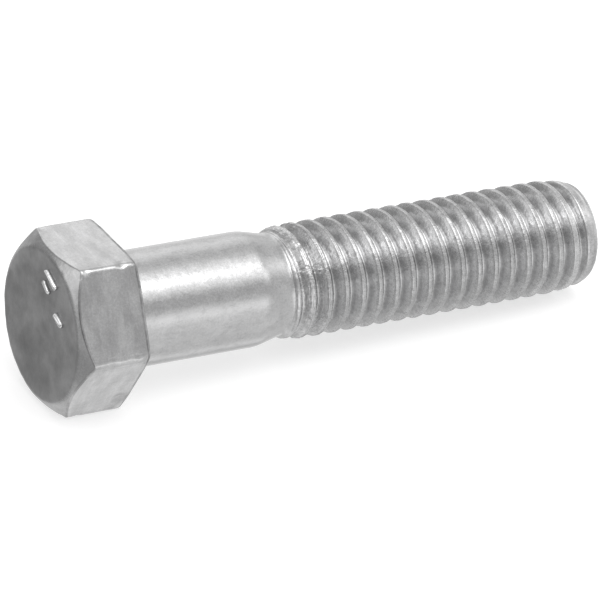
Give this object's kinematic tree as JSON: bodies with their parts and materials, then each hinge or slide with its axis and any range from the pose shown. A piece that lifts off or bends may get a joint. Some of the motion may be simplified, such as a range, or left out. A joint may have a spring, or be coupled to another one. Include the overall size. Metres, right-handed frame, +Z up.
{
  "type": "hex bolt",
  "caption": "Part-threaded hex head bolt with a chamfered head, a plain body, a rolled coarse thread and a tapered tip, for clamping parts together with a nut or tapped hole.",
  "frame": {"origin": "centre of the head's flat top, on the bolt's axis", "axes": "+X along the bolt from the head to the tip; +Z up, out of one wrench flat; the seat under the head is the plane x = 7.1 mm"},
  "size_m": [0.0579, 0.0178, 0.0156],
  "materials": {
    "zinc_plated_steel": "bright zinc plating over forged and rolled steel, satin, slightly mottled"
  },
  "bodies": {
    "root": {"hex_bolt": "zinc_plated_steel"}
  },
  "joints": []
}
